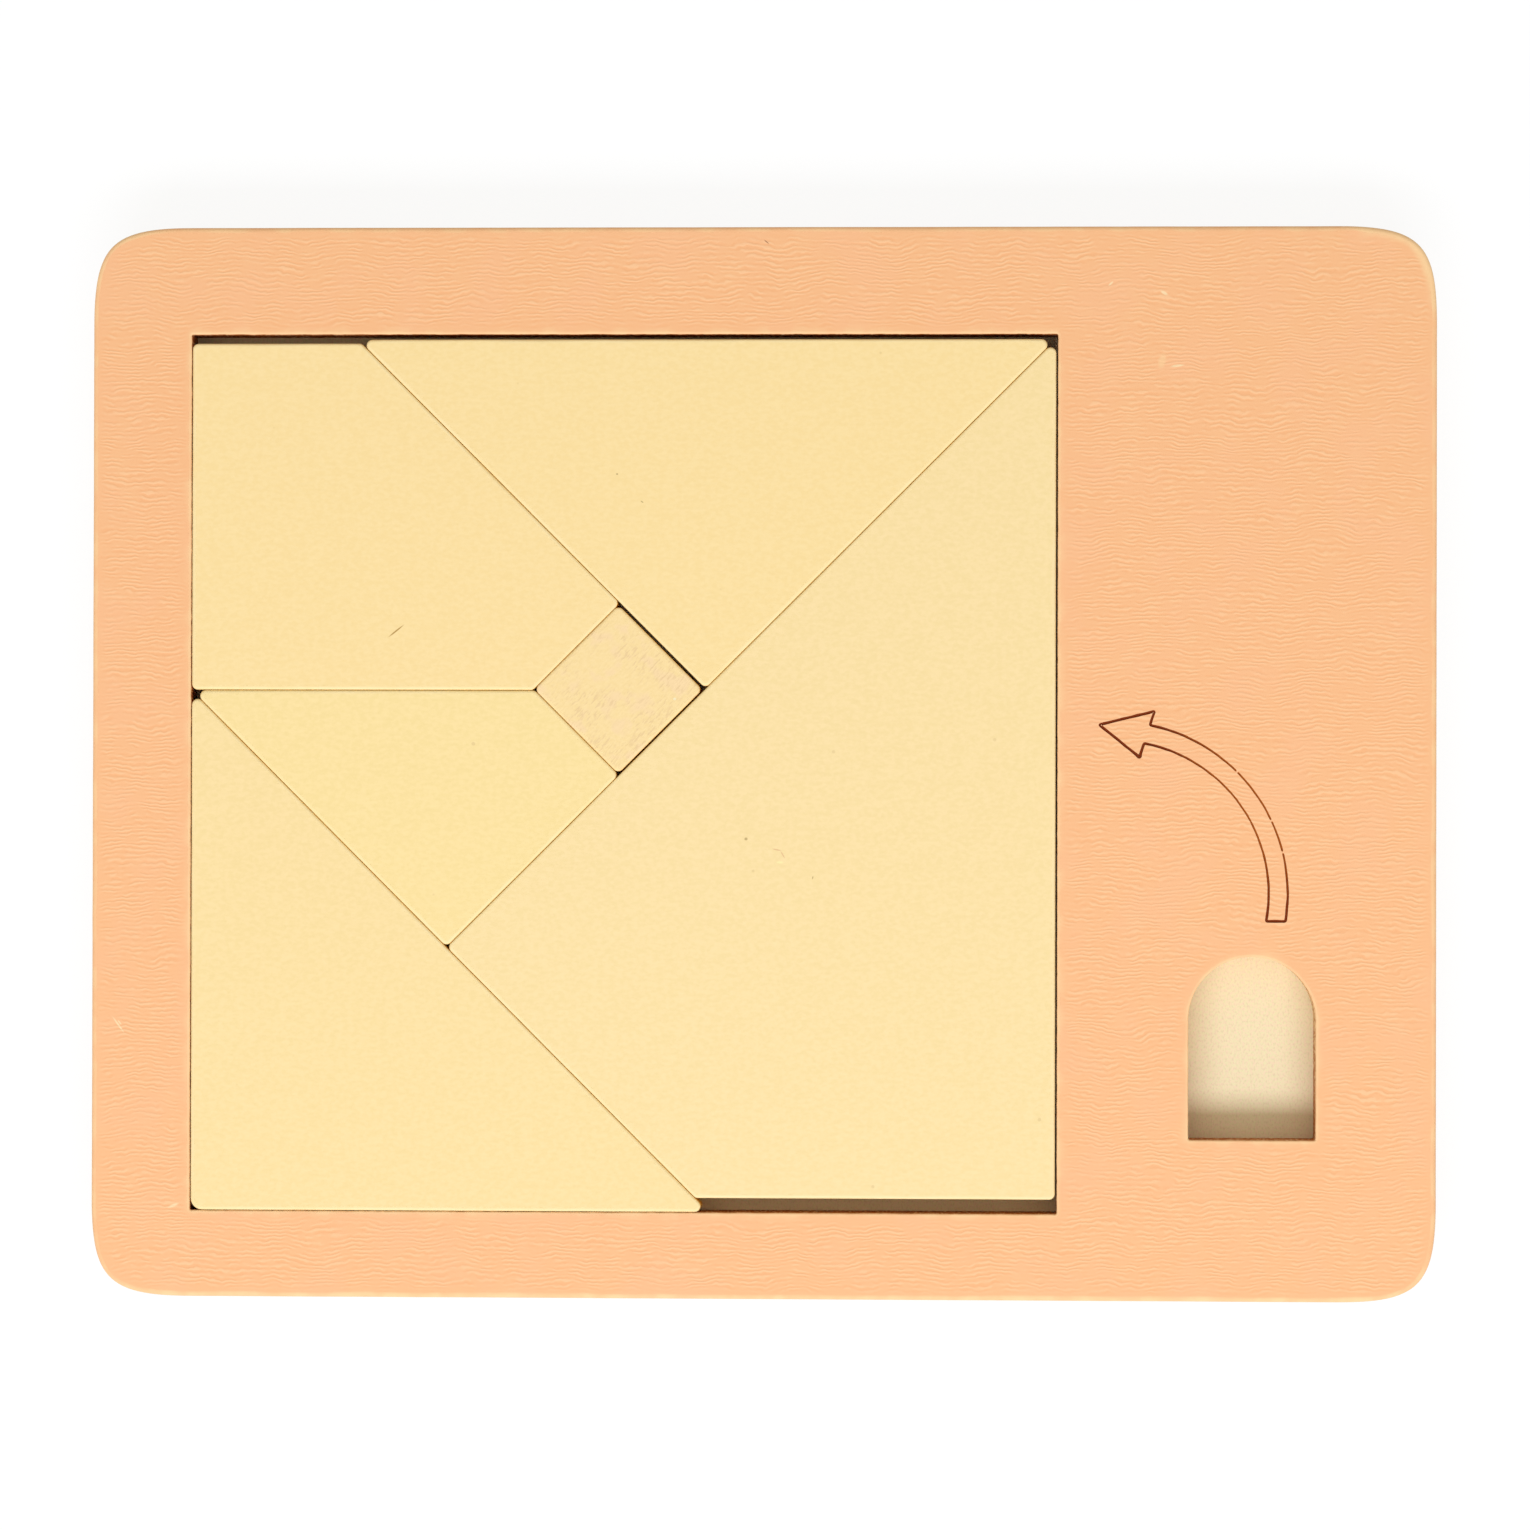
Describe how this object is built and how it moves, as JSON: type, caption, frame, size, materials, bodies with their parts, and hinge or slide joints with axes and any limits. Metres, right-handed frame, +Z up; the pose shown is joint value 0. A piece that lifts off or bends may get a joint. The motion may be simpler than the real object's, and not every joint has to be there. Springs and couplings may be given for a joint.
{
  "type": "tray packing puzzle",
  "caption": "Flat wooden tray puzzle: loose flat polygons fill a square well in a rounded frame, beside an arched pocket that parks the small square, with an engraved arrow between them.",
  "frame": {"origin": "centre of the tray's underside", "axes": "+X along the tray's long side, from the well towards the pocket; +Y along its short side, from the pocket's flat end towards its arch; +Z up, out of the tray's open face"},
  "size_m": [0.15, 0.1196, 0.008],
  "materials": {
    "base_wood": "bare pale plywood, fine straight grain",
    "frame_paint": "matt apricot paint on plywood, fine brush ripples, laser-browned cut walls",
    "piece_paint": "satin pale yellow paint on plywood, sanded edges",
    "square_paint": "thin pale yellow paint with the wood grain showing through"
  },
  "bodies": {
    "tray": {"base_board": "base_wood", "frame": "frame_paint"},
    "pentagon_piece": {"corner_pentagon": "piece_paint"},
    "top_triangle_piece": {"top_triangle": "piece_paint"},
    "kite_piece": {"large_kite": "piece_paint"},
    "trapezoid_piece": {"trapezoid": "piece_paint"},
    "corner_triangle_piece": {"corner_triangle": "piece_paint"},
    "square_piece": {"small_square": "square_paint"}
  },
  "joints": [
    {"name": "pentagon_lift", "type": "slide", "parent": "tray", "child": "pentagon_piece", "axis": [0, 0, 1], "range_m": [0, 0.03]},
    {"name": "top_triangle_lift", "type": "slide", "parent": "tray", "child": "top_triangle_piece", "axis": [0, 0, 1], "range_m": [0, 0.03]},
    {"name": "kite_lift", "type": "slide", "parent": "tray", "child": "kite_piece", "axis": [0, 0, 1], "range_m": [0, 0.03]},
    {"name": "trapezoid_lift", "type": "slide", "parent": "tray", "child": "trapezoid_piece", "axis": [0, 0, 1], "range_m": [0, 0.03]},
    {"name": "corner_triangle_lift", "type": "slide", "parent": "tray", "child": "corner_triangle_piece", "axis": [0, 0, 1], "range_m": [0, 0.03]},
    {"name": "square_lift", "type": "slide", "parent": "tray", "child": "square_piece", "axis": [0, 0, 1], "range_m": [0, 0.03]}
  ]
}
